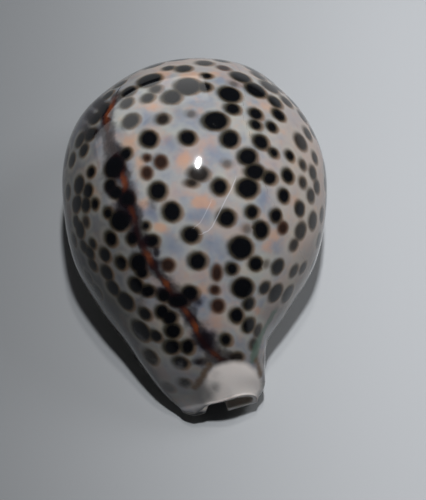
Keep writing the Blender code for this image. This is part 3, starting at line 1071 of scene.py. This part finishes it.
@dataclass(frozen=True)
class GlazedAragonite:
    """Glazed aragonite: the enamel that the living animal lays down and polishes.

    Colour lies in soft layers of different depth under a clear skin, so the eye sees spots with
    blurred, two-coloured rims, and hard, bright reflections on top of them.
    """

    ground: str = "#767D8A"
    ground_light: str = "#929291"
    mottle_mm: float = 7.0
    mottle_limits: tuple[float, float] = (0.35, 0.65)
    roughness: float = 0.06
    index: float = 1.53
    specular_level: float = 0.28
    scatter_weight: float = 0.08
    scatter_mm: float = 1.2
    scatter_reach: tuple[float, float, float] = (1.0, 0.6, 0.45)
    ripple_mm: float = 7.0
    ripple_height_mm: float = 0.03
    layers: tuple[GlazeLayer, ...] = (
        GlazeLayer("pink drifts", "#9C8983", "outside", 1.0, 1.3, 0.6, 1.0, 8.0),
        GlazeLayer("cream drifts", "#9A9C94", "outside", 1.05, 1.35, 0.5, 1.0, 7.0),
        GlazeLayer("warm flanks", "#A3948A", "warm_flank", 0.1, 1.0, 0.55, 0.4, 6.0),
        GlazeLayer("peach clouds", "#B0886F", "peach", 0.05, 0.9, 0.75, 0.6, 2.4),
        GlazeLayer("slate drifts", "#5E687C", "slate", 0.05, 0.9, 0.55, 0.35, 4.0),
        GlazeLayer("lilac drifts", "#55536A", "smudge", 0.05, 0.6, 0.5, 0.4, 5.0),
        GlazeLayer("dusky flanks", "#40372F", "flank", 0.1, 1.0, 0.36, 0.2, 6.0),
        # painted shade: the left flank darkened
        GlazeLayer("painted shade on the left flank", "#2C2622", "left_flank_painted_shade", 0.1, 1.0, 0.58, 0.3, 5.0),
        GlazeLayer("cream halos", "#A5A391", "olive_rim", -2.2, -0.8, 0.16, 0.4, 3.0, "strength"),
        GlazeLayer("orange rims", "#5E4226", "warm_rim", -0.75, 0.1, 0.7, 0.35, 2.2, "strength"),
        GlazeLayer("olive rims", "#2C2A20", "olive_rim", -1.05, 0.35, 0.9, 0.35, 2.6, "strength"),
        GlazeLayer("brown spots", "#4C3226", "spot", -0.8, 0.4, 0.85, 0.3, 2.2, "brownness"),
        GlazeLayer("mantle line, purple sides", "#161015", "mantle", 2.8, 0.9, 0.75, 2.4, 3.4,
                   two_sided=True),
        GlazeLayer("purple smudges", "#100C12", "smudge", 0.08, 0.75, 0.92, 0.35, 2.6),
        GlazeLayer("mantle line, wine core", "#1D0F11", "mantle", 1.4, 0.1, 0.85, 1.2, 2.0, two_sided=True),
        GlazeLayer("mantle line, rust core", "#70391F", "mantle", 1.3, 0.0, 0.85, 1.3, 1.6, "fleck",
                   two_sided=True),
        GlazeLayer("spot cores", "#0A0B0E", "spot", -0.4, 0.7, 1.0, 0.38, 2.6, "strength"),
        GlazeLayer("green streak", "#3B5146", "green", 2.1, 0.4, 0.8, 0.9, 2.2),
        GlazeLayer("grey veil", "#78787A", "veil", 0.2, 1.0, 0.5, 0.6, 2.6),
        GlazeLayer("pale patch", "#DCD5D1", "pale", -0.5, 1.3, 0.95, 0.3, 3.0),
        # grey glaze and painted shade over the lower left of the pale patch
        GlazeLayer("patch shade", "#6C6B6A", "patch_veil_and_shade", 0.05, 0.95, 0.88, 0.2, 3.0),
        GlazeLayer("rust stains", "#4E3820", "rust", 1.3, 0.1, 0.75, 0.5, 1.6),
        GlazeLayer("creamy underside", "#E6DFD2", "underside", 0.1, 0.8, 1.0, 0.25, 3.0),
        GlazeLayer("lilac inside", "#CFC6D2", "inside", 0.2, 0.8, 1.0),
        # beige canal, made lighter as painted light in its shadow
        GlazeLayer("beige canal", "#DDD3C8", "canal", 0.2, 0.8, 1.0, 0.2, 3.0),
        # pale rim edge and painted highlight
        GlazeLayer("pale rim, painted highlight", "#CFCBC8", "rim", 0.3, 0.9, 0.9),
        # pale margin edge and painted highlight along the outline
        GlazeLayer("pale margin, painted highlight", "#D2D0CE", "pale_margin_and_highlight", 0.1, 0.9, 0.85),
        GlazeLayer("long scratch", "#C9CAD2", "scratch_0", 0.2, 0.03, 0.35, within="near_scratch_0",
                   two_sided=True),
        GlazeLayer("short scratch", "#C9CAD2", "scratch_1", 0.18, 0.03, 0.22, within="near_scratch_1",
                   two_sided=True),
    )

    def build(self) -> bpy.types.Material:
        """Make the material.

        Returns:
            The glaze, ready to go on the shell.
        """
        material = bpy.data.materials.new("glazed_aragonite")
        material.use_nodes = True
        tree = material.node_tree
        tree.nodes.clear()
        place = add_node(tree, "ShaderNodeTexCoord", {}).outputs["Object"]
        mottle = add_node(tree, "ShaderNodeTexNoise", {"Vector": place, "Scale": 1.0 / (self.mottle_mm * MM),
                                                       "Detail": 3.0, "Roughness": 0.6}).outputs["Fac"]
        low, high = self.mottle_limits
        share = add_node(tree, "ShaderNodeMapRange", {"Value": mottle, "From Min": low, "From Max": high})
        colour = add_node(tree, "ShaderNodeMix", {0: share.outputs[0], 6: linear(self.ground),
                                                  7: linear(self.ground_light)}, data_type="RGBA").outputs[2]
        for number, layer in enumerate(self.layers):
            colour = self.lay(tree, place, colour, layer, number)
        ripple = add_node(tree, "ShaderNodeTexNoise", {"Vector": place, "Scale": 1.0 / (self.ripple_mm * MM),
                                                       "Detail": 1.0}).outputs["Fac"]
        bump = add_node(tree, "ShaderNodeBump", {"Height": ripple, "Strength": 1.0,
                                                 "Distance": self.ripple_height_mm * MM})
        surface = add_node(tree, "ShaderNodeBsdfPrincipled", {
            "Base Color": colour, "Roughness": self.roughness, "IOR": self.index,
            "Specular IOR Level": self.specular_level,
            "Subsurface Weight": self.scatter_weight, "Subsurface Radius": self.scatter_reach,
            "Subsurface Scale": self.scatter_mm * MM, "Normal": bump.outputs[0]})
        add_node(tree, "ShaderNodeOutputMaterial", {"Surface": surface.outputs[0]})
        return material

    @staticmethod
    def lay(tree: bpy.types.NodeTree, place: bpy.types.NodeSocket, under: bpy.types.NodeSocket,
            layer: GlazeLayer, number: int) -> bpy.types.NodeSocket:
        """Lay one layer of colour over the colour so far.

        Args:
            tree: the material's node tree.
            place: the socket with the position on the shell.
            under: the colour so far.
            layer: the layer to add.
            number: the layer's place in the stack, which gives it noise of its own.

        Returns:
            The socket with the new colour.
        """
        depth = add_node(tree, "ShaderNodeAttribute", {}, attribute_name=layer.mark).outputs["Fac"]
        if layer.two_sided:
            depth = add_node(tree, "ShaderNodeMath", {0: depth}, operation="ABSOLUTE").outputs[0]
        if layer.wobble:
            apart = (0.013 * number, 0.0, 0.007 * number)
            moved = add_node(tree, "ShaderNodeVectorMath", {0: place, 1: apart})
            noise = add_node(tree, "ShaderNodeTexNoise", {"Vector": moved.outputs[0], "Detail": 2.0,
                                                          "Scale": 1.0 / (layer.grain_mm * MM)})
            grain = noise.outputs["Fac"]
            offset = add_node(tree, "ShaderNodeMath", {0: grain, 1: -0.5}, operation="ADD").outputs[0]
            depth = add_node(tree, "ShaderNodeMath", {0: offset, 1: 2.0 * layer.wobble, 2: depth},
                             operation="MULTIPLY_ADD").outputs[0]
        low, high = sorted((layer.starts, layer.full))
        ends = (0.0, layer.amount) if layer.full > layer.starts else (layer.amount, 0.0)
        cover = add_node(tree, "ShaderNodeMapRange", {"Value": depth, "From Min": low, "From Max": high,
                                                      "To Min": ends[0], "To Max": ends[1]},
                         interpolation_type="SMOOTHSTEP").outputs[0]
        if layer.within:
            weaker = add_node(tree, "ShaderNodeAttribute", {}, attribute_name=layer.within).outputs["Fac"]
            cover = add_node(tree, "ShaderNodeMath", {0: cover, 1: weaker}, operation="MULTIPLY").outputs[0]
        return add_node(tree, "ShaderNodeMix", {0: cover, 6: under, 7: linear(layer.colour)},
                        data_type="RGBA", label=layer.name).outputs[2]


@dataclass(frozen=True)
class Panel:
    """A large, dim panel that the gloss mirrors. Angles are in degrees, sizes in millimetres."""

    name: str
    azimuth: float
    elevation: float
    wide: float
    high: float
    watts: float
    distance: float = 1000.0
    roll: float = 0.0

    def place(self) -> np.ndarray:
        """Where the panel hangs; azimuth 0 is towards the spire end, positive to the right."""
        azimuth, elevation = math.radians(self.azimuth), math.radians(self.elevation)
        flat = math.cos(elevation)
        way = (math.sin(azimuth) * flat, math.cos(azimuth) * flat, math.sin(elevation))
        return np.array(way) * self.distance


@dataclass(frozen=True)
class Studio:
    """Plain pale floor, painted a little brighter to the right as painted light, and soft studio light, in
    millimetres.
    """

    floor_size: float = 2400.0
    # painted light: the floor's colour, darker on the left and lighter on the right
    floor_shaded_left: str = "#6A6D70"
    floor_lit_right: str = "#A7AAAE"
    floor_change: float = 70.0
    floor_roughness: float = 0.55
    sky_colour: str = "#C4CAD6"
    sky_strength: float = 0.025
    glint_pixel: tuple[float, float] = (198.0, 164.0)
    glint_size: tuple[float, float] = (20.0, 46.0)
    glint_distance: float = 620.0
    glint_watts: float = 2.2
    key_place: tuple[float, float, float] = (20.0, 70.0, 650.0)
    key_size: tuple[float, float] = (40.0, 40.0)
    key_watts: float = 4.2
    fill_place: tuple[float, float, float] = (220.0, 100.0, 260.0)
    fill_size: tuple[float, float] = (120.0, 120.0)
    fill_watts: float = 0.4
    lit_middle: tuple[float, float, float] = (0.0, 0.0, 20.0)
    panels: tuple[Panel, ...] = (
        Panel("window", -20.5, 22.0, 910.0, 573.0, 3.1),
        Panel("low_window", -58.0, 15.0, 380.0, 330.0, 0.45, roll=35.0),
    )

    def build_floor(self) -> bpy.types.Object:
        """Lay the floor under the shell, in matt pale grey paint, with painted light: darker to the left,
        lighter to the right.
        """
        half = self.floor_size * MM / 2.0
        mesh = bpy.data.meshes.new("pale_floor")
        corners = [(-half, -half, 0.0), (half, -half, 0.0), (half, half, 0.0), (-half, half, 0.0)]
        mesh.from_pydata(corners, [], [(0, 1, 2, 3)])
        material = bpy.data.materials.new("pale_paint_and_painted_light")
        material.use_nodes = True
        tree = material.node_tree
        surface = tree.nodes["Principled BSDF"]
        # painted light: the floor's colour runs from dark on the left to light on the right
        place = add_node(tree, "ShaderNodeTexCoord", {}).outputs["Object"]
        across = add_node(tree, "ShaderNodeSeparateXYZ", {"Vector": place}).outputs["X"]
        reach = self.floor_change * MM
        limits = {"Value": across, "From Min": -reach, "From Max": reach}
        share = add_node(tree, "ShaderNodeMapRange", limits, interpolation_type="SMOOTHSTEP").outputs[0]
        colour = add_node(tree, "ShaderNodeMix", {0: share, 6: linear(self.floor_shaded_left),
                                                  7: linear(self.floor_lit_right)}, data_type="RGBA").outputs[2]
        tree.links.new(colour, surface.inputs["Base Color"])
        surface.inputs["Roughness"].default_value = self.floor_roughness
        mesh.materials.append(material)
        floor = bpy.data.objects.new("pale_floor", mesh)
        bpy.context.scene.collection.objects.link(floor)
        return floor

    def build_sky(self) -> None:
        """Fill the room with dim, even, slightly cool light."""
        world = bpy.data.worlds.new("dim_room")
        world.use_nodes = True
        background = world.node_tree.nodes["Background"]
        background.inputs["Color"].default_value = linear(self.sky_colour)
        background.inputs["Strength"].default_value = self.sky_strength
        bpy.context.scene.world = world

    @staticmethod
    def lamp(name: str, place: np.ndarray, target: np.ndarray, size: tuple[float, float], watts: float,
             roll: float = 0.0) -> bpy.types.Object:
        """Add a flat lamp that faces a point.

        Args:
            name: what the lamp is.
            place: where it stands.
            target: what it faces.
            size: its width and height.
            watts: its power.
            roll: how far it is turned about its own axis, in degrees.

        Returns:
            The lamp's object.
        """
        data = bpy.data.lights.new(name, "AREA")
        data.shape = "RECTANGLE"
        data.size, data.size_y = size[0] * MM, size[1] * MM
        data.energy = watts
        lamp = bpy.data.objects.new(name, data)
        lamp.location = Vector(place * MM)
        turn = Quaternion((0.0, 0.0, 1.0), math.radians(roll))
        lamp.rotation_euler = (Vector(target - place).to_track_quat("-Z", "Y") @ turn).to_euler()
        bpy.context.scene.collection.objects.link(lamp)
        return lamp

    def build_lamps(self, shell: MarkedShell) -> list[bpy.types.Object]:
        """Hang the key lamp, two soft lamps, and a small one that the shell mirrors at the glint.

        Args:
            shell: the shell that mirrors the lamp.

        Returns:
            The lamps.
        """
        found = shell.cast(*self.glint_pixel)
        hit, normal = found if found else (np.zeros(3), np.array([0.0, 0.0, 1.0]))
        way = shell.camera.ray(*self.glint_pixel)
        mirrored = way - 2.0 * (way @ normal) * normal
        glint_place = hit + mirrored * self.glint_distance
        glint = self.lamp("glint_lamp", glint_place, hit, self.glint_size, self.glint_watts)
        glint.data.shape = "ELLIPSE"
        middle = np.array(self.lit_middle)
        key = self.lamp("key_lamp", np.array(self.key_place), middle, self.key_size, self.key_watts)
        fill = self.lamp("fill_lamp", np.array(self.fill_place), middle, self.fill_size, self.fill_watts)
        mirrored_lamps = [glint]
        for panel in self.panels:
            size = (panel.wide, panel.high)
            lamp = self.lamp(panel.name, panel.place(), middle, size, panel.watts, panel.roll)
            mirrored_lamps.append(lamp)
        key.visible_glossy = fill.visible_glossy = False
        for lamp in mirrored_lamps:
            lamp.visible_diffuse = False
        return [key, fill] + mirrored_lamps


def main() -> None:
    """Build the camera, the shell and the studio, and log the shell and the studio."""
    bpy.context.scene.view_settings.view_transform = "Standard"
    logging.basicConfig(level=logging.INFO, format="%(name)s: %(message)s")
    camera = PhotoCamera()
    camera.build()
    marked = MarkedShell(ShellForm(), camera)
    shell = marked.build()
    shell.data.materials.append(GlazedAragonite().build())
    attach(shell, "root")
    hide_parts(NODE_NAME)
    LOG.info("shell: %d points, %d faces", len(shell.data.vertices), len(shell.data.polygons))
    studio = Studio()
    floor = studio.build_floor()
    studio.build_sky()
    lamps = studio.build_lamps(marked)
    LOG.info("studio: %s and %d lamps", floor.name, len(lamps))


if __name__ == "__main__":
    main()
